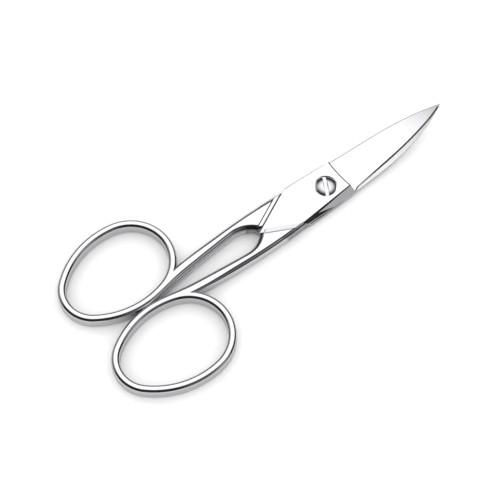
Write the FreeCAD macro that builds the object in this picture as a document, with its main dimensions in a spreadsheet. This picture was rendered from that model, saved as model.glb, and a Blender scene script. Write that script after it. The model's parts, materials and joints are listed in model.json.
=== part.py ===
import FreeCAD
import Part

import math
import os

# A pair of fine curved-blade thread scissors, closed, lying on its flat underside.
# +X points to the blade tips, +Z up. The origin is below the middle of the outline.
# Each half is one forging: finger ring, shank, lap joint and blade. A slotted screw joins them.
# The two laps and handles are the same shape turned half over about X. Both blades bend up.

V = FreeCAD.Vector
Placement = FreeCAD.Placement
Rotation = FreeCAD.Rotation

DIMENSIONS = [
    ("pivot_ahead", 15.98, "screw axis ahead of the middle of the outline"),
    ("bar_height", 3.5, "thickness of rings and shanks"),
    ("edge_round", 0.8, "rounding along rings and shanks"),
    ("mating_gap", 0.1, "running gap between the two laps and blades"),
    ("flat_recess", 0.2, "joint flat below the top of the bars"),
    ("ring_back", 51.6, "centre of the finger hole behind the screw"),
    ("ring_aside", 11.08, "centre of the finger hole beside the middle line"),
    ("ring_half_length", 12.73, "half length of the finger hole"),
    ("ring_half_width", 9.15, "half width of the finger hole at its widest"),
    ("ring_widest", 1.48, "widest place, ahead of the hole's centre"),
    ("ring_side_radius", 18.83, "radius of the hole's two long sides"),
    ("ring_tilt", 4.19, "long axis of the hole, leaning outward, degrees"),
    ("ring_bar", 1.98, "width of the bar round the hole"),
    ("shoulder_reach", 8.64, "screw axis to the shank's shoulder wall"),
    ("shoulder_angle", 26.67, "shoulder wall away from the middle line, degrees"),
    ("shoulder_length", 16.82, "that wall, from the foot of the screw axis's normal"),
    ("shoulder_gap", 0.3, "gap between a lap's free edge and that wall"),
    ("shoulder_bevel", 0.45, "bevel along the shoulder wall"),
    ("runout_width", 1.5, "ground slope from the joint flat up to the shank"),
    ("side_bevel_angle", 39.0, "slope of the bevel beside the joint flat, degrees"),
    ("blade_reach", 34.3, "screw axis to the blade tips"),
    ("bend_start", 8.0, "screw axis to where the blades begin to bend up"),
    ("bend_radius", 80.0, "bend radius of the meeting faces"),
    ("blade_core", 0.55, "blade thickness on its middle line near the joint"),
    ("blade_thinning", 5.0, "how much further the outer faces' radii go"),
    ("grind_angle", 4.7, "slope of a blade's outer face to its edge, degrees"),
    ("stem_diameter", 2.8, "screw stem"),
    ("stem_clearance", 0.05, "radial clearance of the stem in the upper half"),
    ("head_diameter", 4.9, "screw head"),
    ("head_recess_diameter", 5.5, "recess round the screw head"),
    ("head_floor", 0.7, "metal left under the screw head"),
    ("head_lift", 0.05, "running gap under the screw head"),
    ("head_rim", 0.6, "straight rim of the screw head"),
    ("head_dome", 0.45, "rise of the dome above that rim"),
    ("slot_width", 0.77, "screw slot width"),
    ("slot_depth", 0.55, "screw slot depth below the crown"),
    ("slot_angle", 61.4, "screw slot direction, degrees from +X"),
]

doc = FreeCAD.newDocument("thread_scissors")
sheet = doc.addObject("Spreadsheet::Sheet", "dimensions")
for row, (alias, value, meaning) in enumerate(DIMENSIONS, start=1):
    sheet.set(f"A{row}", meaning)
    sheet.set(f"B{row}", str(value))
    sheet.setAlias(f"B{row}", alias)
doc.recompute()


def size(alias):
    """Return the value of one driving dimension."""
    return float(sheet.get(alias))


PIVOT = V(size("pivot_ahead"), 0, 0)
BAR_HEIGHT = size("bar_height")
HALF_GAP = size("mating_gap") / 2
UPPER_FACE = BAR_HEIGHT / 2 + HALF_GAP
LOWER_FACE = BAR_HEIGHT / 2 - HALF_GAP
JOINT_FLAT = BAR_HEIGHT - size("flat_recess")
SHOULDER_NORMAL = Rotation(V(0, 0, 1), -90 - size("shoulder_angle")).multVec(V(1, 0, 0))
AS_BUILT = Placement(PIVOT, Rotation())
TURNED_OVER = Placement(PIVOT + V(0, 0, BAR_HEIGHT), Rotation(V(1, 0, 0), 180))

# Plan outlines of the upper half, from the screw axis. Its spine is on +Y and its ring on -Y.
LAP_SPINE = [(-8.2, 5.12), (-5, 5.13), (0, 4.92), (4.6, 4.68)]
LAP_FRONT = [(4.6, 4.68), (4.5, 0.8), (5.1, -4.85)]
LAP_SIDE = [(5.1, -4.85), (-2, -5.05), (-9.3, -5.02), (-10.2, -4.5), (-18.9, -1.0)]
APEX = (-19.75, -0.59)
REAR_CORNER = [(-10.41, 4.1), (-8.82, 4.76)]
SHANK_THROAT = [APEX, (-21.6, -1.95), (-25, -2.6)]
SHANK_INNER_END = (-47, -1.2)
SHANK_OUTER = [(-41, -3.9), (-24, -5.45), (-8.95, -5.15)]
SHANK_ROOT = [SHANK_INNER_END, (-46, -2.6), SHANK_OUTER[0]]
TIP = (size("blade_reach"), 0)
BLADE_SPINE = [(2, 4.82), (6, 4.6), (13, 4.27), (19, 3.82), (25.4, 2.82), (30, 1.6), TIP]
CUTTING_EDGE = [TIP, (31, -0.9), (27, -1.66), (20, -2.6), (13, -3.32), (6.33, -4.11)]
HEEL = [(6.33, -4.11), (4.93, -4.93), (2, -4.6), (2, 4.82)]
SIDE_BEVEL = [(5.25, -3.09), (-8.61, -4.52)]

# Cutting shapes reach well beyond the metal that they cut.
CUTTER_LENGTH = 40.0
CUTTER_DEPTH = 3.0
BORE_LENGTH = 10.0
BLADE_DEPTH = 12.0


def plan(points):
    return [V(*point, 0) for point in points]


def curve_through(points):
    curve = Part.BSplineCurve()
    curve.interpolate(plan(points))
    return curve


def arc_through(points):
    return Part.Arc(*plan(points))


def arc_onward(arc, end):
    """Return an arc that carries on from the end of another, without a corner, to a plan point."""
    start = arc.EndPoint
    ahead = arc.tangent(arc.LastParameter)[0]
    chord = V(*end, 0) - start
    normal = V(-ahead.y, ahead.x, 0)
    centre = start + normal * (chord.Length**2 / (2 * chord.dot(normal)))
    middle = start + chord / 2
    outward = (middle - centre).normalize() * (start - centre).Length
    return Part.Arc(start, centre + outward, start + chord)


def polyline(points):
    corners = plan(points)
    return [Part.LineSegment(start, end) for start, end in zip(corners, corners[1:])]


def add_sketch(name, curves, placement):
    sketch = doc.addObject("Sketcher::SketchObject", name)
    sketch.Placement = placement
    sketch.addGeometry(curves, False)
    return sketch


def add_extrusion(name, sketch, length):
    """Extrude a closed sketch along its normal, by a spreadsheet expression."""
    extrusion = doc.addObject("Part::Extrusion", name)
    extrusion.Base = sketch
    extrusion.DirMode = "Normal"
    extrusion.Solid = True
    extrusion.setExpression("LengthFwd", length)
    return extrusion


def add_boolean(kind, name, base, tool):
    result = doc.addObject("Part::" + kind, name)
    result.Base = base
    result.Tool = tool
    return result


def add_fuse(name, shapes):
    result = doc.addObject("Part::MultiFuse", name)
    result.Shapes = shapes
    result.Refine = True
    return result


def add_rounding(name, base, is_long):
    """Round the flat edges of a bar that the test picks out, at the top and the bottom."""
    doc.recompute()
    radius = size("edge_round")
    rounding = doc.addObject("Part::Fillet", name)
    rounding.Base = base
    edges = enumerate(base.Shape.Edges, start=1)
    flat_edges = [(number, edge) for number, edge in edges if edge.BoundBox.ZLength < 1e-6]
    rounding.Edges = [(number, radius, radius) for number, edge in flat_edges if is_long(edge)]
    return rounding


def ring_arcs(outside=0.0):
    """Four arcs round the finger hole's egg, each meeting the next without a corner.

    The two long sides share a radius. Each end's radius follows from the sides' centres, which
    lie across the long axis at the hole's widest place. `outside` moves the egg out by a width.
    """
    half_length = size("ring_half_length")
    half_width = size("ring_half_width")
    side = size("ring_side_radius")
    widest = size("ring_widest")
    depth = side - half_width

    def end_radius(reach):
        return (side**2 - depth**2 - reach**2) / (2 * (side - reach))

    front = end_radius(half_length - widest)
    rear = end_radius(half_length + widest)
    front_centre = V(half_length - front, 0, 0)
    rear_centre = V(rear - half_length, 0, 0)

    def tangent_point(end_centre, radius, side_sign):
        away = (end_centre - V(widest, -side_sign * depth, 0)).normalize()
        return end_centre + away * (radius + outside)

    front_left, front_right = [tangent_point(front_centre, front, sign) for sign in (1, -1)]
    rear_left, rear_right = [tangent_point(rear_centre, rear, sign) for sign in (1, -1)]
    reach = V(half_length + outside, 0, 0)
    top = V(widest, half_width + outside, 0)
    bottom = V(widest, -half_width - outside, 0)
    centre = V(-size("ring_back"), -size("ring_aside"), 0)
    leaning = Placement(centre, Rotation(V(0, 0, 1), -size("ring_tilt")))
    stretches = [
        (front_right, reach, front_left),
        (front_left, top, rear_left),
        (rear_left, -reach, rear_right),
        (rear_right, bottom, front_right),
    ]
    return [Part.Arc(*[leaning.multVec(point) for point in stretch]) for stretch in stretches]


def shoulder_point(along, beyond=0.0):
    """Point beyond the shoulder wall, `along` it from the foot of the screw axis's normal."""
    wall = V(SHOULDER_NORMAL.y, -SHOULDER_NORMAL.x, 0)
    return SHOULDER_NORMAL * (size("shoulder_reach") + beyond) + wall * along


def add_handle(name, turn):
    """Finger ring and shank, rounded along the top and the bottom, up to the shoulder wall."""
    egg = ring_arcs() + ring_arcs(outside=size("ring_bar"))
    ring_plan = add_sketch(name + "_ring_plan", egg, turn)
    ring_bar = add_extrusion(name + "_ring_bar", ring_plan, "dimensions.bar_height")
    ring = add_rounding(name + "_ring", ring_bar, lambda edge: True)
    wall_end = shoulder_point(size("shoulder_length"))
    throat = arc_through(SHANK_THROAT)
    outline = [throat, arc_onward(throat, SHANK_INNER_END), *polyline(SHANK_ROOT)]
    outline += [arc_through(SHANK_OUTER), *polyline([SHANK_OUTER[-1], (wall_end.x, wall_end.y), APEX])]
    shank_plan = add_sketch(name + "_shank_plan", outline, turn)
    shank_bar = add_extrusion(name + "_shank_bar", shank_plan, "dimensions.bar_height")
    shank = add_rounding(name + "_shank", shank_bar, lambda edge: "Circle" in edge.Curve.TypeId)
    return add_fuse(name + "_handle", [ring, shank])


def add_lap(name, turn):
    """Joint block, from the mating gap up to the joint flat."""
    front = Part.Arc(*plan(LAP_FRONT))
    sides = polyline([*LAP_SIDE, APEX, *REAR_CORNER, LAP_SPINE[0]])
    outline = [curve_through(LAP_SPINE), front, *sides]
    lift = turn.multiply(Placement(V(0, 0, UPPER_FACE), Rotation()))
    sketch = add_sketch(name + "_lap_plan", outline, lift)
    height = "dimensions.bar_height / 2 - dimensions.mating_gap / 2 - dimensions.flat_recess"
    return add_extrusion(name + "_lap", sketch, height)


def add_dish(name, level, radius, tilt=0.0):
    """Solid below a dished face: flat near the screw, then bending up round an arc.

    The face turns about the screw axis, so two of them slide on each other at every opening.
    """
    start = size("bend_start")
    reach = size("blade_reach") + 6
    middle = (start + reach) / 2

    def rise(distance):
        return radius - math.sqrt(radius**2 - (distance - start) ** 2)

    bend = Part.Arc(V(reach, rise(reach), 0), V(middle, rise(middle), 0), V(start, 0, 0))
    foot = -BLADE_DEPTH
    sides = polyline([(start, 0), (0, 0), (0, foot), (reach, foot), (reach, rise(reach))])
    upright = Placement(V(), Rotation(V(1, 0, 0), 90))
    profile = add_sketch(name + "_profile", [bend, *sides], upright)
    dish = doc.addObject("Part::Revolution", name)
    dish.Source = profile
    dish.Axis = V(0, 0, 1)
    dish.Angle = 360
    dish.Solid = True
    dish.Placement = Placement(PIVOT + V(0, 0, level), Rotation(V(1, 0, 0), tilt))
    return dish


def add_blade(name, turn, top_dish, under_dish):
    """Blade between two dished faces, inside its plan outline."""
    outline = [curve_through(BLADE_SPINE), curve_through(CUTTING_EDGE), *polyline(HEEL)]
    lowered = turn.multiply(Placement(V(0, 0, -BLADE_DEPTH), Rotation()))
    sketch = add_sketch(name + "_blade_plan", outline, lowered)
    prism = add_extrusion(name + "_blade_prism", sketch, f"dimensions.bar_height + {2 * BLADE_DEPTH}")
    capped = add_boolean("Common", name + "_blade_capped", prism, top_dish)
    return add_boolean("Cut", name + "_blade", capped, under_dish)


def add_slope(name, turn, corner, outward, slope, remove_above=True):
    """Box with one face on a slope through a corner point; it is cut away from the half.

    The face falls (slope < 0) or rises in the outward direction, and the box lies above or below.
    """
    fall = math.radians(slope)
    across = outward * math.cos(fall) + V(0, 0, math.sin(fall))
    along = outward.cross(V(0, 0, 1)) if remove_above else V(0, 0, 1).cross(outward)
    box = doc.addObject("Part::Box", name)
    box.Length, box.Width, box.Height = CUTTER_LENGTH, CUTTER_DEPTH, CUTTER_DEPTH
    rotation = Rotation(along, across, along.cross(across), "ZYX")
    start = corner - along * (CUTTER_LENGTH / 2) - across * (0 if remove_above else 1)
    box.Placement = turn.multiply(Placement(start, rotation))
    return box


def add_grinding(name, turn):
    """Cuts round the lap: slope up to the shank, bevel under the shoulder, bevel at the side."""
    recess = size("flat_recess")
    runout_angle = math.degrees(math.atan2(recess, size("runout_width")))
    runout_start = shoulder_point(0, -0.9 * size("shoulder_gap")) + V(0, 0, JOINT_FLAT)
    runout = add_slope(name + "_runout", turn, runout_start, SHOULDER_NORMAL, runout_angle)
    bevel_start = shoulder_point(0) + V(0, 0, size("shoulder_bevel"))
    bevel_name = name + "_shoulder_bevel"
    bevel = add_slope(bevel_name, turn, bevel_start, SHOULDER_NORMAL, -45, remove_above=False)
    front, rear = plan(SIDE_BEVEL)
    outward = (front - rear).cross(V(0, 0, 1)).normalize()
    side_start = front + V(0, 0, JOINT_FLAT)
    side = add_slope(name + "_side_bevel", turn, side_start, outward, -size("side_bevel_angle"))
    return [runout, bevel, side]


def add_bore(name, radius, bottom):
    bore = doc.addObject("Part::Cylinder", name)
    bore.setExpression("Radius", radius)
    bore.Height = BORE_LENGTH
    bore.Placement = Placement(PIVOT + V(0, 0, bottom), Rotation())
    return bore


def add_half(label, turn, dishes, bores):
    """One forging: handle, lap and blade in one piece, less its grinding and its bores."""
    forged = [add_handle(label, turn), add_lap(label, turn), add_blade(label, turn, *dishes)]
    blank = add_fuse(label + "_blank", forged)
    cuts = add_fuse(label + "_cuts", [*add_grinding(label, turn), *bores])
    half = add_boolean("Cut", label + "_forging", blank, cuts)
    half.Label = label
    return half


def add_screw(label):
    """Slotted screw: plain stem, raised head, and a slot for a screwdriver."""
    floor = UPPER_FACE + size("head_floor") + size("head_lift")
    rim = floor + size("head_rim")
    crown = rim + size("head_dome")
    foot = size("flat_recess")
    stem_radius = size("stem_diameter") / 2
    head_radius = size("head_diameter") / 2
    dome_radius = (head_radius**2 + size("head_dome") ** 2) / (2 * size("head_dome"))
    body = doc.addObject("PartDesign::Body", label + "_body")
    body.Label = label
    body.Placement = Placement(PIVOT, Rotation())
    planes = {feature.Role: feature for feature in body.Origin.OriginFeatures}
    profile = body.newObject("Sketcher::SketchObject", "screw_profile")
    profile.AttachmentSupport = [(planes["XZ_Plane"], "")]
    profile.MapMode = "FlatFace"
    stem = [(0, crown), (0, foot), (stem_radius, foot), (stem_radius, floor)]
    corners = [*stem, (head_radius, floor), (head_radius, rim)]
    mid = head_radius / 2
    mid_rise = crown - dome_radius + math.sqrt(dome_radius**2 - mid**2)
    dome = Part.Arc(V(head_radius, rim, 0), V(mid, mid_rise, 0), V(0, crown, 0))
    profile.addGeometry([*polyline(corners), dome], False)
    turned = body.newObject("PartDesign::Revolution", "screw_turned")
    turned.Profile = profile
    turned.ReferenceAxis = (profile, ["V_Axis"])
    turned.Angle = 360
    doc.recompute()
    slot = body.newObject("PartDesign::SubtractiveBox", "screw_slot")
    slot.Length = 2 * head_radius + 2
    slot.setExpression("Width", "dimensions.slot_width")
    slot.Height = 2
    across = Rotation(V(0, 0, 1), size("slot_angle"))
    offset = across.multVec(V(-head_radius - 1, -size("slot_width") / 2, 0))
    slot.AttachmentSupport = [(planes["XY_Plane"], "")]
    slot.MapMode = "FlatFace"
    slot.AttachmentOffset = Placement(offset + V(0, 0, crown - size("slot_depth")), across)
    return body


bend = size("bend_radius")
thinning = size("blade_thinning")
core = size("blade_core")
grind = size("grind_angle")
upper_dishes = (
    add_dish("upper_outer_dish", UPPER_FACE + core, bend + thinning, grind),
    add_dish("upper_mating_dish", UPPER_FACE, bend),
)
lower_dishes = (
    add_dish("lower_mating_dish", LOWER_FACE, bend),
    add_dish("lower_outer_dish", LOWER_FACE - core, bend - thinning, grind),
)
stem_bore = "dimensions.stem_diameter / 2"
recess_bore = "dimensions.head_recess_diameter / 2"
upper_bores = [
    add_bore("upper_stem_bore", stem_bore + " + dimensions.stem_clearance", 0),
    add_bore("upper_head_recess", recess_bore, UPPER_FACE + size("head_floor")),
]
lower_bores = [add_bore("lower_stem_bore", stem_bore, -BORE_LENGTH / 2)]

SUB_PARTS = [
    add_half("upper_half", AS_BUILT, upper_dishes, upper_bores),
    add_half("lower_half", TURNED_OVER, lower_dishes, lower_bores),
    add_screw("pivot_screw"),
]
doc.recompute()

for item in doc.Objects:
    if "Invalid" in item.State or "Error" in item.State:
        raise RuntimeError(f"{item.Label} failed: {item.State}")

os.makedirs("parts", exist_ok=True)
for sub_part in SUB_PARTS:
    shape = sub_part.Shape
    if shape.isNull() or not shape.isValid() or len(shape.Solids) != 1:
        raise RuntimeError(f"{sub_part.Label} has no single valid solid")
    shape.exportStep(f"parts/{sub_part.Label}.step")
    box = shape.optimalBoundingBox()
    print(f"{sub_part.Label}: {shape.Volume:.2f} mm3, X {box.XMin:.2f} to {box.XMax:.2f},",
          f"Y {box.YMin:.2f} to {box.YMax:.2f}, Z {box.ZMin:.2f} to {box.ZMax:.2f}")
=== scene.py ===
"""Looks of a pair of curved thread scissors: two mirror-polished forgings and their joint screw.

Lengths in the classes are millimetres, measured from the screw's axis at the resting surface, with
+X to the blade tips. Each piece is built there for the upper half. The lower half's handle and lap
are the same surfaces turned half over about X. `Shell.to_object` moves a finished shell to the screw's
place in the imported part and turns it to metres.
"""

from __future__ import annotations

import json
import logging
import math
from collections.abc import Sequence
from dataclasses import dataclass, field
from enum import Enum

import bmesh
import bpy
import numpy as np
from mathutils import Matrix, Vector

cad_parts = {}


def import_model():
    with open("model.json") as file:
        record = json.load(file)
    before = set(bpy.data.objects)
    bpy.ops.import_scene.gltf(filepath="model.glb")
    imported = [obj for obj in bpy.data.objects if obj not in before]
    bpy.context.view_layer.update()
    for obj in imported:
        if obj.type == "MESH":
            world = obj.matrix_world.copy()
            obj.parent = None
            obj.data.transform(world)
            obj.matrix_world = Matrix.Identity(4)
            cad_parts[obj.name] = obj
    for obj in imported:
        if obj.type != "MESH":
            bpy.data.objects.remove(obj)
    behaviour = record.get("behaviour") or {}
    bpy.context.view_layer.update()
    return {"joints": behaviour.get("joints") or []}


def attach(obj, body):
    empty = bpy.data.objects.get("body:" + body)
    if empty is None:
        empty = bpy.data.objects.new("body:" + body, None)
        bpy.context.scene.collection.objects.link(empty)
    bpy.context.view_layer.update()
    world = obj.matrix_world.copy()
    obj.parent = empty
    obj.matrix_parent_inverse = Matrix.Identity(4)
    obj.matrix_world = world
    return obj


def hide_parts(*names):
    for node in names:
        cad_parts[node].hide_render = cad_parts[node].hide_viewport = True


LOG = logging.getLogger("scissors")
MM = 0.001

WELD_DISTANCE = 1e-4  # mm; closer points are one corner, and it is the play in a rim's height
POLE_RADIUS = 1e-5  # mm; a turned shape starts this far from its axis, and the weld closes it
WALL = 90.0  # degrees; the slope of an upright cut
SHARP_ANGLE = math.radians(12)  # faces that meet at more than this keep a crisp edge
FLAT_FACES_WEIGHT = 100  # how fully large faces rule the shading of the small ones beside them

Array = np.ndarray
Grid = Array  # rows x columns x 3 points
Points = tuple[tuple[float, float], ...]  # plan points (x, y)


class Side(Enum):
    """The two forgings of the pair."""

    UPPER = "upper"
    LOWER = "lower"


class Zone(Enum):
    """Material zones of a forging, in slot order."""

    POLISHED = 0
    GROUND = 1
    SHADED = 2


def srgb(hex_colour: str) -> tuple[float, float, float, float]:
    """Convert a colour to linear light.

    Args:
        hex_colour: sRGB colour as "#rrggbb".

    Returns:
        Linear red, green and blue, and an alpha of 1.
    """
    channels = [int(hex_colour[i : i + 2], 16) / 255 for i in (1, 3, 5)]
    linear = [c / 12.92 if c <= 0.04045 else ((c + 0.055) / 1.055) ** 2.4 for c in channels]
    return (linear[0], linear[1], linear[2], 1.0)


# ---------------------------------------------------------------------------------------------
# Plane curves


def circle_through(a: Sequence[float], b: Sequence[float], c: Sequence[float]) -> tuple[Array, float]:
    """Find the circle through three points.

    Args:
        a: First point (x, y).
        b: Second point.
        c: Third point.

    Returns:
        Its centre and radius.
    """
    first, second, third = (np.asarray(point, float) for point in (a, b, c))
    matrix = 2 * np.array([second - first, third - first])
    values = np.array([second @ second - first @ first, third @ third - first @ first])
    centre = np.linalg.solve(matrix, values)
    return centre, float(np.linalg.norm(first - centre))


def smooth_step(share: Array) -> Array:
    """Ease a share between 0 and 1 in and out: 3 t^2 - 2 t^3."""
    return share**2 * (3 - 2 * share)


def on_circle(centre: Array, radius: float | Array, angles: Array) -> Array:
    """Return the points centre + radius (cos, sin) of each angle."""
    ring = np.stack([np.cos(angles), np.sin(angles)], -1)
    return centre + np.asarray(radius)[..., None] * ring


def angle_of(point: Sequence[float], centre: Array) -> float:
    """Return the direction of a point seen from a centre, in radians."""
    return math.atan2(point[1] - centre[1], point[0] - centre[0])


def rotate(points: Array, angle: float) -> Array:
    """Turn plan points about the origin by an angle in radians."""
    c, s = math.cos(angle), math.sin(angle)
    return points @ np.array([[c, s], [-s, c]])


def chamfered(outline: Array, width: Array, slope: float = 0.5) -> tuple[Array, Array]:
    """Draw a closed outline in, each side by its own width.

    Each new corner is where its two moved sides cross: with n1, n2 their outward normals and w1, w2
    their widths it moves by the vector v that has n1.v = w1 and n2.v = w2.

    Args:
        outline: Plan corners, clockwise.
        width: Width for the side from each corner to the next.
        slope: Drop per width over the chamfer.

    Returns:
        The corners drawn in, and the drop at each old corner.
    """
    ahead = np.roll(outline, -1, axis=0) - outline
    ahead /= np.linalg.norm(ahead, axis=1)[:, None]
    normal = np.column_stack([-ahead[:, 1], ahead[:, 0]])
    before, before_width = np.roll(normal, 1, axis=0), np.roll(width, 1)
    matrix = np.stack([before, normal], axis=1)
    shift = np.linalg.solve(matrix, np.column_stack([before_width, width])[..., None])[..., 0]
    return outline - shift, slope * (before_width + width) / 2


def smooth_through(points: Sequence[Sequence[float]], stations: Array) -> Array:
    """Evaluate a smooth curve y(x) through a few points.

    It is the natural cubic: each stretch is a cubic, and slope and curvature carry over.

    Args:
        points: Points (x, y) in order of x.
        stations: Where to evaluate it; beyond the ends it is held.

    Returns:
        y at each station.
    """
    x, y = np.array(points, float).T
    step = np.diff(x)
    slope = np.diff(y) / step
    count = len(x)
    matrix = np.eye(count)
    rows = np.arange(1, count - 1)
    matrix[rows, rows - 1] = step[:-1]
    matrix[rows, rows] = 2 * (step[:-1] + step[1:])
    matrix[rows, rows + 1] = step[1:]
    values = np.zeros(count)
    values[1:-1] = 6 * np.diff(slope)
    curvature = np.linalg.solve(matrix, values)
    at = np.clip(stations, x[0], x[-1])
    i = np.clip(np.searchsorted(x, at) - 1, 0, count - 2)
    left, right = at - x[i], x[i + 1] - at
    bend = (curvature[i] * right**3 + curvature[i + 1] * left**3) / (6 * step[i])
    start = (y[i] / step[i] - curvature[i] * step[i] / 6) * right
    end = (y[i + 1] / step[i] - curvature[i + 1] * step[i] / 6) * left
    return bend + start + end


@dataclass(frozen=True)
class Egg:
    """Finger hole: four arcs that meet without a corner, wider towards the screw."""

    half_length: float = 12.73
    half_width: float = 9.15
    widest: float = 1.48
    side_radius: float = 18.83
    tilt: float = math.radians(-4.19)
    centre: tuple[float, float] = (-51.6, -11.08)

    def end_radius(self, reach: float) -> float:
        """Return the radius of the end arc that is tangent to both side arcs."""
        depth = self.side_radius - self.half_width
        return (self.side_radius**2 - depth**2 - reach**2) / (2 * (self.side_radius - reach))

    def at(self, turn: Array, outside: float | Array = 0.0) -> Array:
        """Find the points whose outward normal has a given direction.

        Each arc serves the normals between its two tangent points, so a curve moved out by any
        width keeps the same normals: point = arc centre + (arc radius + width) (cos, sin).

        Args:
            turn: Directions of the outward normal in plan, in radians.
            outside: Width by which the egg is moved out.

        Returns:
            Plan points, one per direction.
        """
        front = self.end_radius(self.half_length - self.widest)
        rear = self.end_radius(self.half_length + self.widest)
        depth = self.side_radius - self.half_width
        front_x = self.half_length - front
        rear_x = rear - self.half_length
        local = np.arctan2(np.sin(turn - self.tilt), np.cos(turn - self.tilt))
        front_edge = math.atan2(depth, front_x - self.widest)
        rear_edge = math.atan2(depth, rear_x - self.widest)
        height = np.abs(local)
        on_end_x = np.where(height < front_edge, front_x, rear_x)
        on_side = (height >= front_edge) & (height <= rear_edge)
        centre_x = np.where(on_side, self.widest, on_end_x)
        centre_y = np.where(on_side, -np.sign(local) * depth, 0.0)
        radius = np.where(on_side, self.side_radius, np.where(height < front_edge, front, rear))
        reach = radius + outside
        points = np.stack([centre_x + reach * np.cos(local), centre_y + reach * np.sin(local)], -1)
        return rotate(points, self.tilt) + np.asarray(self.centre)


# ---------------------------------------------------------------------------------------------
# Meshes


class Shell:
    """A mesh in the making: grids of quads, welded where they meet."""

    def __init__(self, name: str) -> None:
        """Start an empty shell with a name for the log."""
        self.name = name
        self.mesh = bmesh.new()

    def add_grid(self, grid: Grid, closed: bool = False, zone: Zone = Zone.POLISHED) -> None:
        """Add a grid of quads.

        Args:
            grid: Points, rows x columns x 3.
            closed: Whether the last column joins the first.
            zone: The material zone of its faces.
        """
        rows, columns = grid.shape[:2]
        numbers = np.arange(rows * columns).reshape(rows, columns)
        ahead = np.roll(numbers, -1, axis=1)
        keep = slice(None) if closed else slice(0, columns - 1)
        corners = [numbers[:-1, keep], ahead[:-1, keep], ahead[1:, keep], numbers[1:, keep]]
        quads = np.stack(corners, -1).reshape(-1, 4)
        data = bpy.data.meshes.new(self.name)
        data.from_pydata(grid.reshape(-1, 3).tolist(), [], quads.tolist())
        data.polygons.foreach_set("material_index", np.full(len(quads), zone.value, dtype=np.int32))
        self.mesh.from_mesh(data)
        bpy.data.meshes.remove(data)

    def weld(self) -> None:
        """Join the vertices that coincide and drop the faces that vanish."""
        bmesh.ops.remove_doubles(self.mesh, verts=self.mesh.verts, dist=WELD_DISTANCE)
        bmesh.ops.dissolve_degenerate(self.mesh, edges=self.mesh.edges, dist=WELD_DISTANCE)

    def fill_level(self, level: float) -> None:
        """Close the open rims at one height with one flat face, holes left out.

        Args:
            level: The height of the rims.
        """
        rim = [
            edge
            for edge in self.mesh.edges
            if edge.is_boundary and all(abs(end.co.z - level) < WELD_DISTANCE for end in edge.verts)
        ]
        bmesh.ops.triangle_fill(self.mesh, edges=rim, use_beauty=True, normal=(0, 0, 1))

    def cut(self, point: Sequence[float], normal: Sequence[float], zone: Zone = Zone.POLISHED) -> None:
        """Slice off what lies on a plane's normal side and close the slice.

        Args:
            point: A point of the plane.
            normal: The plane's normal, towards what is removed.
            zone: The material zone of the new face.
        """
        geometry = [*self.mesh.verts, *self.mesh.edges, *self.mesh.faces]
        result = bmesh.ops.bisect_plane(
            self.mesh, geom=geometry, plane_co=Vector(point), plane_no=Vector(normal), clear_outer=True
        )
        rim = [item for item in result["geom_cut"] if isinstance(item, bmesh.types.BMEdge)]
        made = bmesh.ops.triangle_fill(self.mesh, edges=rim, use_beauty=True, normal=Vector(normal))
        for item in made["geom"]:
            if isinstance(item, bmesh.types.BMFace):
                item.material_index = zone.value

    def absorb(self, other: Shell) -> None:
        """Add another shell's faces to this one.

        Args:
            other: The shell to add; it stays as it is.
        """
        data = bpy.data.meshes.new(other.name)
        other.mesh.to_mesh(data)
        self.mesh.from_mesh(data)
        bpy.data.meshes.remove(data)

    def turn_over(self, height: float) -> None:
        """Turn everything half over about X, at half a height."""
        for vertex in self.mesh.verts:
            vertex.co = (vertex.co.x, -vertex.co.y, height - vertex.co.z)

    def to_object(self, name: str, pivot: Vector) -> bpy.types.Object:
        """Make a Blender object in the row frame, smooth but for its real edges.

        Args:
            name: The object's name.
            pivot: Where the screw's axis meets the resting surface, in metres.

        Returns:
            The linked object.
        """
        bmesh.ops.recalc_face_normals(self.mesh, faces=self.mesh.faces)
        open_edges = sum(not edge.is_manifold for edge in self.mesh.edges)
        data = bpy.data.meshes.new(name)
        self.mesh.to_mesh(data)
        self.mesh.free()
        points = np.empty(len(data.vertices) * 3)
        data.vertices.foreach_get("co", points)
        points = points.reshape(-1, 3) * MM + np.array(pivot)
        data.vertices.foreach_set("co", points.ravel())
        data.shade_smooth()
        data.set_sharp_from_angle(angle=SHARP_ANGLE)
        piece = bpy.data.objects.new(name, data)
        bpy.context.scene.collection.objects.link(piece)
        weighting = piece.modifiers.new("flat_faces_lead", "WEIGHTED_NORMAL")
        weighting.keep_sharp = True
        weighting.weight = FLAT_FACES_WEIGHT
        LOG.info("%s: %d faces, %d open edges", name, len(data.polygons), open_edges)
        return piece


def side_profile(height: float, rounding: float, steps: int) -> tuple[Array, Array]:
    """Section of a bar's side, from its flat top round the edge, down and under.

    Over each rounded edge the inset is r (1 - sin a) and the height H - r (1 - cos a).

    Args:
        height: Thickness of the bar.
        rounding: Radius of its edges.
        steps: Rows over each edge.

    Returns:
        How far each row lies inside the outline, and its height.
    """
    angle = np.linspace(0, math.pi / 2, steps)
    inset = rounding * (1 - np.sin(angle))
    level = height - rounding * (1 - np.cos(angle))
    return np.concatenate([inset, inset[::-1]]), np.concatenate([level, (height - level)[::-1]])


# ---------------------------------------------------------------------------------------------
# The forgings


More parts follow.
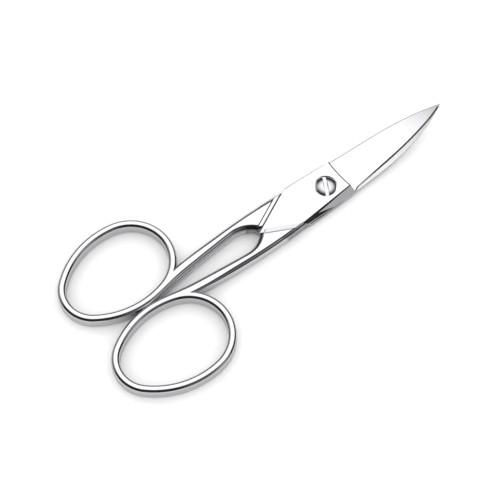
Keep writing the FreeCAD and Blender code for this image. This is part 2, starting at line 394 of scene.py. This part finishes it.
@dataclass
class Handle:
    """Finger ring and shank: one bar with rounded edges, cut off at the joint's shoulder.

    Seen in plan its outer rim is a closed loop: the shank's outer side, the ring's outer curve, the
    shank's inner side, the throat round the end of the opening between the shanks, and the free edge.
    """

    egg: Egg = field(default_factory=Egg)
    bar_width: float = 1.98
    height: float = 3.5
    rounding: float = 0.8
    shank_softness: float = 1.7  # the shank's edges are rounder than the ring's by this factor
    shank_depth: float = 1.6  # and reach down its sides by this share of the extra softness
    softening: float = 2.6  # full softness is reached after one part in this many of the shank
    outer_arc: Points = ((-41.0, -3.9), (-24.0, -5.45), (-8.95, -5.15))
    outer_end: tuple[float, float] = (-5.0, -5.0)  # past the shoulder, where it is cut off
    throat_arc: Points = ((-19.75, -0.59), (-21.6, -1.95), (-25.0, -2.6))
    free_edge: tuple[float, float] = (-15.5, 1.5)
    notch_search: tuple[float, float] = (5.0, 85.0)  # degrees on the ring, on each side of the notch
    notch_steps: int = 400
    edge_steps: int = 14
    shank_columns: int = 70
    ring_columns: int = 260
    throat_columns: int = 24
    free_columns: int = 8
    hole_columns: int = 240

    def outer_rows(self, inset: Array) -> tuple[Grid, Array]:
        """Rim of ring and shank at each inset, as one closed loop per row.

        The ring's and the shank's edges are rounded separately, so at the notch where they meet each
        row turns where its own two curves cross, and the rows make a valley that fades out.

        Args:
            inset: Distance of each row inside the outline.

        Returns:
            Plan points, rows x columns x 2, and how much softer than the ring's the edge is in
            each column.
        """
        along = np.linspace(0, 1, self.shank_columns)
        soft = 1 + (self.shank_softness - 1) * smooth_step(np.clip(along * self.softening, 0, 1))
        level = inset[:, None]
        notch_turn = self.notch_turns(inset)
        outer = self.outer_side(inset, notch_turn, soft[::-1])
        inner, touch_turn = self.inner_side(inset, soft)
        swept = touch_turn - 2 * math.pi - notch_turn[:, None]
        ring_turns = notch_turn[:, None] + swept * np.linspace(0, 1, self.ring_columns)
        ring = self.egg.at(ring_turns, self.bar_width - level)
        throat, edge = self.throat_and_edge(inset)
        rows = np.concatenate([outer[:, :-1], ring, inner[:, 1:], throat[:, 1:], edge[:, 1:]], axis=1)
        front = np.full(self.throat_columns + self.free_columns - 2, self.shank_softness)
        return rows, np.concatenate([soft[::-1][:-1], np.ones(ring.shape[1]), soft[1:], front])

    def notch_turns(self, inset: Array) -> Array:
        """Find where each row of the ring crosses its row of the shank's outer side.

        Along the ring the distance to the shank's circle changes sign at the crossing.

        Args:
            inset: Distance of each row inside the outline.

        Returns:
            The direction of the ring's normal at the crossing, one per row.
        """
        centre, radius = circle_through(*self.outer_arc)
        level = inset[:, None]
        scan = np.radians(np.linspace(*self.notch_search, self.notch_steps))
        ring = self.egg.at(scan[None, :], self.bar_width - level)
        outside = np.linalg.norm(ring - centre, axis=-1) - (radius - level)
        return np.array([np.interp(0, -row, scan) for row in outside])

    def outer_side(self, inset: Array, notch_turn: Array, soft: Array) -> Grid:
        """Draw the shank's outer side, an arc from its front end to the notch.

        Args:
            inset: Distance of each row inside the outline.
            notch_turn: The ring's normal at the notch, one per row.
            soft: How much softer than the ring's the edge is in each column.

        Returns:
            Plan points, rows x columns x 2.
        """
        centre, radius = circle_through(*self.outer_arc)
        notch = self.egg.at(notch_turn, self.bar_width - inset)
        last = np.arctan2(notch[:, 1] - centre[1], notch[:, 0] - centre[0])
        last = np.where(last > 0, last - 2 * math.pi, last)
        first = angle_of(self.outer_end, centre)
        angles = first + (last[:, None] - first) * np.linspace(0, 1, self.shank_columns)
        return on_circle(centre, radius - inset[:, None] * soft, angles)

    def inner_side(self, inset: Array, soft: Array) -> tuple[Grid, float]:
        """Draw the shank's inner side, from the ring to the throat.

        It is the arc that leaves the throat's arc without a corner and is tangent to the ring's
        outer curve. With g the vector from that curve's centre to the start, a the unit vector away
        from the throat's centre and R the curve's reach, its radius is
        (R^2 - g.g) / (2 (-a.g - R)).

        Args:
            inset: Distance of each row inside the outline.
            soft: How much softer than the ring's the edge is in each column.

        Returns:
            Plan points, rows x columns x 2, and the ring's normal where the two meet.
        """
        throat_centre = circle_through(*self.throat_arc)[0]
        start = np.array(self.throat_arc[2])
        away = (start - throat_centre) / np.linalg.norm(start - throat_centre)
        side_centre, side_reach = self.ring_inner_side()
        gap = start - side_centre
        radius = (side_reach**2 - gap @ gap) / (2 * (-away @ gap - side_reach))
        centre = start - away * radius
        touch = side_centre - centre
        first = math.atan2(touch[1], touch[0])
        last = angle_of(start, centre)
        angles = first + (last - first) * np.linspace(0, 1, self.shank_columns)
        rows = on_circle(centre, radius + inset[:, None] * soft, angles)
        return rows, math.atan2(-touch[1], -touch[0])

    def throat_and_edge(self, inset: Array) -> tuple[Grid, Grid]:
        """Draw the throat's arc and the straight free edge after it.

        Args:
            inset: Distance of each row inside the outline.

        Returns:
            Plan points of the throat and of the edge, each rows x columns x 2.
        """
        centre, radius = circle_through(*self.throat_arc)
        first = angle_of(self.throat_arc[2], centre)
        last = angle_of(self.throat_arc[0], centre)
        angles = first + (last - first) * np.linspace(0, 1, self.throat_columns)
        shank = inset[:, None] * self.shank_softness
        throat = on_circle(centre, radius + shank + 0 * angles, angles)
        apex = np.array(self.throat_arc[0])
        along = np.array(self.free_edge) - apex
        inward = np.array([along[1], -along[0]]) / np.linalg.norm(along)
        steps = np.linspace(0, 1, self.free_columns)[:, None]
        return throat, apex + along * steps + inward * shank[..., None]

    def ring_inner_side(self) -> tuple[Array, float]:
        """Find the arc of the ring's outer curve on the pair's middle-line side.

        Returns:
            Its centre and radius.
        """
        depth = self.egg.side_radius - self.egg.half_width
        local = rotate(np.array([[self.egg.widest, -depth]]), self.egg.tilt)[0]
        return local + np.array(self.egg.centre), self.egg.side_radius + self.bar_width

    def blank(self) -> Shell:
        """Build the uncut handle as a closed shell, longer than it ends up.

        The outer rim's rows and the finger hole's rows are two rings of quads, and flat faces close
        them at the top and the bottom.

        Returns:
            The shell.
        """
        shell = Shell("handle")
        inset, level = side_profile(self.height, self.rounding, self.edge_steps)
        plan, soft = self.outer_rows(inset)
        middle = self.height / 2
        from_face = (middle - np.abs(level - middle))[:, None] * (1 + (soft - 1) * self.shank_depth)
        heights = np.where(level[:, None] > middle, self.height - from_face, from_face)[..., None]
        shell.add_grid(np.concatenate([plan, heights], -1), closed=True)
        turns = np.linspace(0, 2 * math.pi, self.hole_columns, endpoint=False)
        hole = self.egg.at(turns[None, :], inset[:, None])
        heights = np.broadcast_to(level[:, None, None], (*hole.shape[:2], 1))
        shell.add_grid(np.concatenate([hole, heights], -1), closed=True)
        shell.weld()
        shell.fill_level(self.height)
        shell.fill_level(0.0)
        return shell

    def build(self, joint: Joint) -> Shell:
        """Build the handle: the bar itself, and the lower step at the joint.

        Args:
            joint: The joint whose shoulder and ground band end the handle.

        Returns:
            The shell.
        """
        bar, step = self.blank(), self.blank()
        joint.trim_bar(bar)
        joint.trim_step(step)
        bar.absorb(step)
        return bar


@dataclass
class Joint:
    """Lap joint block: flat, side bevels, recess for the screw's head and bore.

    The outline runs clockwise: the straight spine, the arc across the blade's root, then the rest,
    along the free side, round the tail and back up the shoulder.
    """

    height: float = 3.5
    gap: float = 0.1
    flat_recess: float = 0.2
    shoulder_reach: float = 8.64
    shoulder_direction: float = math.radians(90 - 26.67)
    step_length: float = 3.0  # how far the low step reaches under the bar
    facet_setback: float = 0.27  # from the wall to where the facet meets the flat's level
    runout_width: float = 1.5
    strip_width: float = 0.65
    strip_drop: float = 0.2
    strip_slope: float = 135.0  # degrees; it leans back under the bar
    facet_slope: float = 17.0  # degrees
    band_rise: float = 0.1  # how far the ground band stands over the flat
    side_bevels: tuple = (  # slope in degrees, front end, rear end
        (39.0, (5.25, -3.09), (-8.61, -4.52)),
        (55.0, (4.6, -4.3), (-8.61, -4.35)),
        (25.0, (5.25, -3.0), (-8.61, -4.28)),
    )
    spine_chamfer: float = 0.12
    front_chamfer: float = 0.3
    rear_chamfer: float = 0.05
    under_chamfer: float = 0.35
    under_slope: float = math.radians(30)
    rear_sides: int = 3  # sides of the outline up the shoulder, at its end
    free_sides: int = 2  # sides of the outline along the free side, after the front arc
    front_points: int = 24
    bore_segments: int = 96
    recess_radius: float = 2.75
    bore_radius: float = 1.45
    head_floor: float = 0.7  # of the screw's recess, above the underside
    spine: Points = ((-8.2, 5.12), (-5.0, 5.13), (0.0, 4.92), (4.6, 4.68))
    front: Points = ((4.6, 4.68), (4.5, 0.8), (5.1, -4.85))
    rest: Points = (
        (-2.0, -5.05),
        (-9.3, -5.02),
        (-10.2, -4.5),
        (-18.9, -1.0),
        (-19.75, -0.59),
        (-10.41, 4.1),
        (-8.82, 4.76),
    )

    @property
    def flat(self) -> float:
        """Height of the joint flat."""
        return self.height - self.flat_recess

    @property
    def underside(self) -> float:
        """Height of the lap's meeting face."""
        return (self.height + self.gap) / 2

    @property
    def shoulder_normal(self) -> Array:
        """Plan direction from the screw square on to the shoulder wall."""
        return -np.array([math.cos(self.shoulder_direction), math.sin(self.shoulder_direction)])

    def shoulder_cut(self, shell: Shell, reach: float, level: float, slope: float, zone: Zone) -> None:
        """Cut along the shoulder's direction.

        Args:
            shell: What is cut.
            reach: Distance of the plane from the screw's axis at the given level.
            level: Height at which that distance holds.
            slope: Rise of the new face away from the screw, in degrees; what lies on its screw
                side goes. It is 90 for a wall, and over 90 for a bevel underneath.
            zone: The material zone of the new face.
        """
        away = self.shoulder_normal
        rise = math.radians(slope)
        normal = (*(-away * math.sin(rise)), math.cos(rise))
        shell.cut((*(away * reach), level), normal, zone)

    def trim_bar(self, bar: Shell) -> None:
        """End the full-height bar: wall, ground facet above, bevel below.

        Args:
            bar: The uncut handle.
        """
        facet_reach = self.shoulder_reach - self.facet_setback + self.runout_width
        strip_reach = self.shoulder_reach + self.strip_width
        # The wall gets the SHADED finish: painted shade of the joint's gap.
        self.shoulder_cut(bar, self.shoulder_reach, 0, WALL, Zone.SHADED)
        self.shoulder_cut(bar, facet_reach, self.height, self.facet_slope, Zone.GROUND)
        self.shoulder_cut(bar, strip_reach, self.strip_drop, self.strip_slope, Zone.POLISHED)

    def trim_step(self, step: Shell) -> None:
        """Leave the low step in front of the bar: a ground band above, a narrow strip below.

        Args:
            step: The uncut handle.
        """
        away = self.shoulder_normal
        facet_reach = self.shoulder_reach - self.facet_setback
        # This wall also gets the SHADED finish: painted shade of the joint's gap.
        self.shoulder_cut(step, self.shoulder_reach, 0, WALL, Zone.SHADED)
        step.cut((*(away * (self.shoulder_reach + self.step_length)), 0), (*away, 0))
        self.shoulder_cut(step, facet_reach, self.flat, self.facet_slope, Zone.GROUND)
        step.cut((0, 0, self.flat + self.band_rise), (0, 0, 1), Zone.GROUND)
        step.cut((0, 0, self.strip_drop), (0, 0, -1))

    def outline(self) -> Array:
        """Draw the block's outline in plan.

        Returns:
            Its corners, clockwise from the rear end of the spine.
        """
        centre, radius = circle_through(*self.front)
        first, last = angle_of(self.front[0], centre), angle_of(self.front[2], centre)
        if abs(last - first) > math.pi:
            last += math.copysign(2 * math.pi, first - last)
        front = on_circle(centre, radius, np.linspace(first, last, self.front_points))
        return np.concatenate([np.array(self.spine[:-1]), front, np.array(self.rest)])

    def rim_rows(self) -> Grid:
        """Stack the block's sides: top chamfer, wall and chamfer underneath.

        Returns:
            Points, 4 rows x corners x 3.
        """
        outline = self.outline()
        spine_end = len(self.spine) - 1
        front_end = spine_end + self.front_points - 1
        top_width = np.zeros(len(outline))
        top_width[:spine_end] = self.spine_chamfer
        top_width[spine_end:front_end] = self.front_chamfer
        top_width[-self.rear_sides :] = self.rear_chamfer
        under_width = np.zeros(len(outline))
        under_width[:spine_end] = self.under_chamfer
        under_width[front_end : front_end + self.free_sides] = self.under_chamfer
        inner, drop = chamfered(outline, top_width)
        under, rise = chamfered(outline, under_width, math.tan(self.under_slope))
        flat = np.full(len(outline), self.flat)
        base = np.full(len(outline), self.underside)
        rows = [(inner, flat), (outline, flat - drop), (outline, base + rise), (under, base)]
        return np.stack([np.column_stack(row) for row in rows])

    def bore_rows(self) -> Grid:
        """Turn the recess for the screw's head and the bore below it about the screw's axis.

        Returns:
            Points, 4 rows x segments x 3.
        """
        turns = np.linspace(0, 2 * math.pi, self.bore_segments, endpoint=False)
        floor = self.underside + self.head_floor
        radii = np.array([self.recess_radius, self.recess_radius, self.bore_radius, self.bore_radius])
        levels = np.array([self.flat, floor, floor, self.underside])
        plan = on_circle(np.zeros(2), radii[:, None] + 0 * turns, turns)
        heights = np.broadcast_to(levels[:, None, None], (*plan.shape[:2], 1))
        return np.concatenate([plan, heights], -1)

    def build(self) -> Shell:
        """Build the lap block as a closed shell.

        Returns:
            The shell.
        """
        shell = Shell("lap")
        shell.add_grid(self.rim_rows(), closed=True)
        shell.add_grid(self.bore_rows(), closed=True)
        shell.weld()
        shell.fill_level(self.flat)
        shell.fill_level(self.underside)
        for slope, front_end, rear_end in self.side_bevels:
            along = np.array(front_end) - np.array(rear_end)
            outward = np.array([along[1], -along[0]]) / np.linalg.norm(along)
            rise = math.radians(slope)
            shell.cut((*front_end, self.flat), (*(outward * math.sin(rise)), math.cos(rise)))
        return shell


@dataclass
class Blade:
    """Curved blade: a wedge between two dished faces, thick at the spine, thin at the edge."""

    reach: float = 34.3
    root: float = 2.0
    bend_start: float = 8.0
    bend_radius: float = 80.0
    thinning: float = 5.0  # how much the outer face's bend radius differs from the inner one's
    core: float = 0.55  # thickness on the line from the screw to the tip, at the root
    grind: float = math.radians(4.7)
    height: float = 3.5
    gap: float = 0.1
    spine: Points = (
        (2, 4.82),
        (6, 4.6),
        (13, 4.27),
        (19, 3.82),
        (25.4, 2.82),
        (30, 1.6),
        (34.3, 0.0),
    )
    edge: Points = ((6.33, -4.11), (13, -3.32), (20, -2.6), (27, -1.66), (31, -0.9), (34.3, 0.0))
    heel: tuple[float, float] = (4.93, -4.93)
    heel_inset: float = 0.3  # behind the heel the edge stays this far inside the lap
    least_width: float = 1e-6  # keeps the tip's lines in order where spine and edge meet
    spine_chamfer: float = 0.14
    spine_share: float = 0.2  # the chamfer takes at most this share of the blade's width
    chamfer_slope: float = 0.5
    edge_bevel: float = 0.25
    edge_share: float = 0.3  # and the edge's bevel at most this share
    edge_thickness: float = 0.03
    columns: int = 90
    face_rows: int = 24

    def rise(self, distance: Array, radius: float) -> Array:
        """Height of a dish at a distance from the screw: flat, then round an arc."""
        beyond = np.clip(distance - self.bend_start, 0, None)
        return radius - np.sqrt(radius**2 - beyond**2)

    def plan(self) -> tuple[Array, Array, Array]:
        """Lay out the blade's lines in plan, from spine to edge.

        The stations crowd towards the tip: x = root + (reach - root) sin t, t even from 0 to 90
        degrees.

        Returns:
            x and y, each lines x stations, and the width of the spine's chamfer at each station.
        """
        swept = np.sin(np.linspace(0, math.pi / 2, self.columns))
        stations = self.root + (self.reach - self.root) * swept
        spine = smooth_through(self.spine, stations)
        edge = smooth_through(self.edge, stations)
        heel_x, heel_y = self.heel
        edge_x, edge_y = self.edge[0]
        heel = heel_y + (edge_y - heel_y) / (edge_x - heel_x) * (stations - heel_x)
        edge = np.where(stations < edge_x, np.maximum(heel, heel_y + self.heel_inset), edge)
        wide = np.maximum(spine - edge, self.least_width)
        top = np.minimum(self.spine_chamfer, self.spine_share * wide)
        bottom = np.minimum(self.edge_bevel, self.edge_share * wide)
        across = np.linspace(0, 1, self.face_rows)[:, None]
        face = spine - top - (wide - top - bottom) * across
        y = np.concatenate([spine[None], face, edge[None]])
        y[:, -1] = 0.0
        return np.broadcast_to(stations, y.shape), y, top

    def build(self, side: Side) -> Shell:
        """Build the blade as a closed shell.

        The inner face is a dish about the screw's axis: h = f + R - sqrt(R^2 - (d - b)^2), with d
        the distance from the axis and b where the bend starts. The outer face is a dish of another
        radius, set off by the core's thickness and tilted towards the edge by y tan(grind).

        Args:
            side: Which blade; the lower one's spine is on -Y and its outer face is below.

        Returns:
            The shell.
        """
        shell = Shell("blade")
        x, y, chamfer = self.plan()
        outward = 1 if side is Side.UPPER else -1
        y = outward * y
        distance = np.hypot(x, y)
        face = self.height / 2 + outward * self.gap / 2
        bend = self.bend_radius + outward * self.thinning
        inner = face + self.rise(distance, self.bend_radius)
        outer = face + outward * self.core + y * math.tan(self.grind) + self.rise(distance, bend)
        outer[0] -= outward * self.chamfer_slope * chamfer
        outer[-1] = inner[-1] + outward * self.edge_thickness
        outer_face = np.stack([x, y, outer], -1)
        inner_face = np.stack([x, y, inner], -1)
        shell.add_grid(outer_face)
        shell.add_grid(inner_face, zone=Zone.GROUND)
        for border in (np.s_[0, :], np.s_[-1, :], np.s_[:, 0], np.s_[:, -1]):
            shell.add_grid(np.stack([outer_face[border], inner_face[border]]))
        shell.weld()
        return shell


@dataclass
class Screw:
    """Joint screw: a stem under a domed head with a straight slot."""

    head_radius: float = 2.45
    stem_radius: float = 1.4
    foot: float = 0.2
    head_bottom: float = 2.55
    crown: float = 3.6
    dome_radius: float = 6.2
    slot_bottom: float = 3.05
    slot_width: float = 0.77
    slot_lip: float = 0.2
    slot_turn: float = math.radians(61.4)
    lip_normal: tuple[float, float] = (0.64, 0.77)  # towards the slot, and up
    land_depth: float = 0.3  # how far the lands reach below the slot's floor
    dome_rows: int = 24
    segments: int = 128

    def blank(self) -> Shell:
        """Turn the whole screw about its axis.

        The dome is a cap of a sphere: z = crown - R + sqrt(R^2 - r^2).

        Returns:
            The shell, without its slot.
        """
        radius = np.linspace(POLE_RADIUS, self.head_radius, self.dome_rows)
        level = self.crown - self.dome_radius + np.sqrt(self.dome_radius**2 - radius**2)
        stem = [
            (self.head_radius, self.head_bottom),
            (self.stem_radius, self.head_bottom),
            (self.stem_radius, self.foot),
            (POLE_RADIUS, self.foot),
        ]
        profile = np.concatenate([np.column_stack([radius, level]), stem])
        turns = np.linspace(0, 2 * math.pi, self.segments, endpoint=False)
        plan = on_circle(np.zeros(2), profile[:, :1] + 0 * turns, turns)
        heights = np.broadcast_to(profile[:, 1, None, None], (*plan.shape[:2], 1))
        shell = Shell("screw")
        shell.add_grid(np.concatenate([plan, heights], -1), closed=True)
        shell.weld()
        return shell

    def build(self, pivot: Vector) -> bpy.types.Object:
        """Build the screw: the part below the slot, and the head's two lands beside it.

        Args:
            pivot: Where the screw's axis meets the resting surface, in metres.

        Returns:
            The object that stands for the screw's CAD node.
        """
        screw = self.blank()
        screw.cut((0, 0, self.slot_bottom), (0, 0, 1))
        for sign in (1, -1):
            land = self.blank()
            across = sign * np.array([-math.sin(self.slot_turn), math.cos(self.slot_turn)])
            land.cut((*(across * self.slot_width / 2), 0), (*-across, 0))
            lip = (*(across * (self.slot_width / 2 + self.slot_lip)), self.crown)
            land.cut(lip, (*(-across * self.lip_normal[0]), self.lip_normal[1]))
            land.cut((0, 0, self.slot_bottom - self.land_depth), (0, 0, -1))
            screw.absorb(land)
        return screw.to_object("joint_screw", pivot)

    def dress(self, piece: bpy.types.Object) -> None:
        """Give the screw its turned finish."""
        piece.data.materials.append(metal(TURNED))


@dataclass
class Half:
    """One forging: handle, lap and blade in one piece."""

    side: Side
    handle: Handle = field(default_factory=Handle)
    joint: Joint = field(default_factory=Joint)
    blade: Blade = field(default_factory=Blade)

    def build(self, pivot: Vector) -> bpy.types.Object:
        """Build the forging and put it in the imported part's frame.

        Args:
            pivot: Where the screw's axis meets the resting surface, in metres.

        Returns:
            The object that stands for this half's CAD node.
        """
        shell = self.handle.build(self.joint)
        shell.absorb(self.joint.build())
        if self.side is Side.LOWER:
            shell.turn_over(self.handle.height)
        shell.absorb(self.blade.build(self.side))
        return shell.to_object(f"{self.side.value}_forging", pivot)

    def dress(self, piece: bpy.types.Object, finishes: Sequence[bpy.types.Material]) -> None:
        """Give the forging its finishes, in the order of the zones."""
        for finish in finishes:
            piece.data.materials.append(finish)


# ---------------------------------------------------------------------------------------------
# Finishes


@dataclass(frozen=True)
class Finish:
    """A metal finish: its colour, its sheen and its marks.

    The mark's strength is a share of MARK_DEPTH, and its size is across the marks, in millimetres.
    """

    name: str
    colour: str
    roughness: float
    mark_strength: float
    mark_size: float


# Nickel plate over polished steel: a mirror with crisp black and white reflections, hardly cloudy.
POLISHED = Finish("mirror_polished_nickel", "#e9e9ec", 0.05, 0.02, 0.35)
# Mating faces straight from the grinding belt: satin, with fine lines that soften reflections. The
# lines are drawn coarser than the grit leaves them, so that they show.
GROUND = Finish("fine_ground_steel", "#dedee0", 0.3, 0.5, 0.15)
# The shoulder's wall, painted nearly black as the shade in the joint's gap: a dull, nearly black line.
SHADED = Finish("joint_gap_painted_shade_steel", "#2a2a2c", 0.35, 0.1, 0.3)
# Steel turned on a lathe and lightly polished: bright, a little less sharp than the plate.
TURNED = Finish("turned_screw_steel", "#e2e2e5", 0.09, 0.04, 0.2)

CLOUD_SIZE = 6.0  # mm; patches of slightly duller polish, as wide as the buffing wheel's passes
CLOUD_DETAIL = 3.0
SHEEN_RANGE = (0.7, 1.4)  # share of a finish's roughness at the brightest and dullest patch
MARK_DETAIL = 4.0
MARK_SQUEEZE = 0.08  # marks run along the pair: they are 1 / 0.08 times longer than wide
MARK_DEPTH = 0.02  # mm


# A Mix node's sockets go by number, because those for numbers and colours share their names.
NUMBER_A, NUMBER_B, NUMBER_OUT = 2, 3, 0
COLOUR_A, COLOUR_B, COLOUR_OUT = 6, 7, 2


class NodeTree:
    """Short hand for building the nodes of a material or a world."""

    def __init__(self, owner: bpy.types.Material | bpy.types.World) -> None:
        """Take an owner's node tree and find its shader.

        Args:
            owner: The material or world.
        """
        owner.use_nodes = True
        self.owner = owner
        self.tree = owner.node_tree
        kinds = ("BSDF_PRINCIPLED", "BACKGROUND")
        self.shader = next(node for node in self.tree.nodes if node.type in kinds)

    def add(self, kind: str, inputs: dict | None = None, **settings: object) -> bpy.types.Node:
        """Add a node, set it up and link or fill its inputs.

        Args:
            kind: Node type without its ShaderNode prefix.
            inputs: Socket name or number to a value, or to an output socket.
            **settings: Node properties.

        Returns:
            The node.
        """
        node = self.tree.nodes.new("ShaderNode" + kind)
        for key, value in settings.items():
            setattr(node, key, value)
        for key, value in (inputs or {}).items():
            self.feed(node.inputs[key], value)
        return node

    def feed(self, socket: bpy.types.NodeSocket, value: object) -> None:
        """Link an output to a socket, or set the socket's constant.

        Args:
            socket: The input to feed.
            value: An output socket, or a constant.
        """
        if isinstance(value, bpy.types.NodeSocket):
            self.tree.links.new(value, socket)
        else:
            socket.default_value = value


def metal(finish: Finish) -> bpy.types.Material:
    """Build a polished metal: soft cloudy wear in its sheen and fine polishing marks.

    Args:
        finish: The finish to build.

    Returns:
        The material.
    """
    nodes = NodeTree(bpy.data.materials.new(finish.name))
    place = nodes.add("TexCoord").outputs["Object"]
    cloud_scale = 1 / (CLOUD_SIZE * MM)
    cloud = nodes.add("TexNoise", {"Vector": place, "Scale": cloud_scale, "Detail": CLOUD_DETAIL})
    low, high = (finish.roughness * share for share in SHEEN_RANGE)
    sheen = nodes.add("MapRange", {"Value": cloud.outputs["Fac"], "To Min": low, "To Max": high})
    stretched = nodes.add("Mapping", {"Vector": place, "Scale": (MARK_SQUEEZE, 1.0, 1.0)})
    along = stretched.outputs["Vector"]
    mark_scale = 1 / (finish.mark_size * MM)
    marks = nodes.add("TexNoise", {"Vector": along, "Scale": mark_scale, "Detail": MARK_DETAIL})
    height = marks.outputs["Fac"]
    depth = MARK_DEPTH * MM
    bump = nodes.add("Bump", {"Height": height, "Strength": finish.mark_strength, "Distance": depth})
    nodes.feed(nodes.shader.inputs["Base Color"], srgb(finish.colour))
    nodes.feed(nodes.shader.inputs["Metallic"], 1.0)
    nodes.feed(nodes.shader.inputs["Roughness"], sheen.outputs["Result"])
    nodes.feed(nodes.shader.inputs["Normal"], bump.outputs["Normal"])
    return nodes.owner


# ---------------------------------------------------------------------------------------------
# Setting


@dataclass(frozen=True)
class SoftLamp:
    """A round soft patch of the surroundings: full inside one angle, gone outside another.

    The angles are degrees from the patch's middle.
    """

    towards: tuple[float, float, float]
    inner: float
    outer: float
    radiance: float


SOFT_BOX = SoftLamp((0.32, 0.32, 0.891), 12, 39, 1.3)  # what the flats mirror to the camera
SIDE_CARD = SoftLamp((0.5, -0.68, 0.536), 5, 18, 0.42)  # lifts the joint's side bevel
REAR_CARD = SoftLamp((0.12, -0.8, 0.588), 4, 24, 0.12)  # keeps the flats from black, from behind
FRONT_CARD = SoftLamp((-0.3, 0.75, 0.589), 4, 28, 0.3)  # and from low in front


@dataclass
class Studio:
    """Pale floor, soft light and the camera."""

    floor_colour: str = "#f6f6f6"
    # the floor's grey as the metal mirrors it: painted shade of the floor around the pair
    floor_painted_shade_in_metal: str = "#c6c6c6"
    floor_reach: float = 3.0  # metres
    floor_drop: float = 1e-5  # metres below the resting surface
    floor_roughness: float = 0.9
    light_colour: str = "#ffffff"
    tent: float = 1.35  # even light on whatever isn't metal
    room: float = 0.02  # what the metal mirrors between the lamps
    lamps: tuple[SoftLamp, ...] = (SOFT_BOX, SIDE_CARD, REAR_CARD, FRONT_CARD)
    camera_distance: float = 378.5
    camera_azimuth: float = math.radians(-36.94)
    camera_elevation: float = math.radians(62.84)
    camera_aim: tuple[float, float, float] = (-23.1, -1.42, 0.0)
    field_of_view: float = math.radians(17.27)
    nearest: float = 0.01  # metres; nothing closer to the camera is drawn

    def add_floor(self) -> None:
        """Add a wide paper floor at the resting surface; the metal mirrors it in a darker grey, a
        painted shade.
        """
        data = bpy.data.meshes.new("floor")
        signs = ((-1, -1), (1, -1), (1, 1), (-1, 1))
        corners = [(x * self.floor_reach, y * self.floor_reach, -self.floor_drop) for x, y in signs]
        data.from_pydata(corners, [], [(0, 1, 2, 3)])
        floor = bpy.data.objects.new("floor", data)
        bpy.context.scene.collection.objects.link(floor)
        nodes = NodeTree(bpy.data.materials.new("matt_white_paper"))
        path = nodes.add("LightPath")
        # Glossy rays see the floor in the darker grey: painted shade in its reflection.
        tone = nodes.add("Mix", {"Factor": path.outputs["Is Glossy Ray"]}, data_type="RGBA")
        nodes.feed(tone.inputs[COLOUR_A], srgb(self.floor_colour))
        nodes.feed(tone.inputs[COLOUR_B], srgb(self.floor_painted_shade_in_metal))
        nodes.feed(nodes.shader.inputs["Base Color"], tone.outputs[COLOUR_OUT])
        nodes.feed(nodes.shader.inputs["Roughness"], self.floor_roughness)
        nodes.feed(nodes.shader.inputs["Specular IOR Level"], 0.0)
        data.materials.append(nodes.owner)

    def add_light(self) -> None:
        """Surround the scene with even soft light, which the metal sees as lamps in a dark room.

        A lamp's share in a direction d is a smooth step of d.m between the cosines of its outer and
        inner angles, with m its middle. The lamps' shares, each times its radiance, add to the room.
        """
        world = bpy.data.worlds.new("studio")
        bpy.context.scene.world = world
        nodes = NodeTree(world)
        direction = nodes.add("TexCoord").outputs["Generated"]
        total: bpy.types.NodeSocket | float = self.room
        for lamp in self.lamps:
            cosine = nodes.add("VectorMath", {0: direction, 1: lamp.towards}, operation="DOT_PRODUCT")
            patch = nodes.add(
                "MapRange",
                {
                    "Value": cosine.outputs["Value"],
                    "From Min": math.cos(math.radians(lamp.outer)),
                    "From Max": math.cos(math.radians(lamp.inner)),
                    "To Max": 1.0,
                },
                interpolation_type="SMOOTHSTEP",
            )
            terms = {0: patch.outputs["Result"], 1: lamp.radiance, 2: total}
            total = nodes.add("Math", terms, operation="MULTIPLY_ADD").outputs[0]
        glossy = nodes.add("LightPath").outputs["Is Glossy Ray"]
        strength = nodes.add("Mix", {"Factor": glossy, NUMBER_A: self.tent, NUMBER_B: total})
        nodes.feed(nodes.shader.inputs["Color"], srgb(self.light_colour))
        nodes.feed(nodes.shader.inputs["Strength"], strength.outputs[NUMBER_OUT])
        bpy.context.scene.view_settings.view_transform = "Standard"

    def add_camera(self, pivot: Vector) -> None:
        """Add the camera, at its own angle and distance from the aim point.

        Args:
            pivot: Where the screw's axis meets the resting surface, in metres.
        """
        data = bpy.data.cameras.new("camera")
        data.angle = self.field_of_view
        data.clip_start = self.nearest
        camera = bpy.data.objects.new("camera", data)
        azimuth, elevation = self.camera_azimuth, self.camera_elevation
        level = math.cos(elevation)
        back = Vector((math.sin(azimuth) * level, -math.cos(azimuth) * level, math.sin(elevation)))
        camera.location = pivot + Vector(self.camera_aim) * MM + back * self.camera_distance * MM
        camera.rotation_euler = (-back).to_track_quat("-Z", "Y").to_euler()
        bpy.context.scene.collection.objects.link(camera)
        bpy.context.scene.camera = camera

    def build(self, pivot: Vector) -> None:
        """Add everything that isn't the object.

        Args:
            pivot: Where the screw's axis meets the resting surface, in metres.
        """
        self.add_floor()
        self.add_light()
        self.add_camera(pivot)


def main() -> None:
    """Load the frame, build the pieces on it, and light them."""
    logging.basicConfig(level=logging.INFO, format="%(name)s: %(message)s")
    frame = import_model()
    pivot = Vector(frame["joints"][0]["pos_m"])
    pivot.z = 0.0
    finishes = [metal(finish) for finish in (POLISHED, GROUND, SHADED)]
    for side in Side:
        half = Half(side)
        forging = half.build(pivot)
        half.dress(forging, finishes)
        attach(forging, side.value)
        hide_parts(f"{side.value}_half")
    joint_screw = Screw()
    screw = joint_screw.build(pivot)
    joint_screw.dress(screw)
    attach(screw, Side.LOWER.value)
    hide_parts("pivot_screw")
    Studio().build(pivot)


if __name__ == "__main__":
    main()
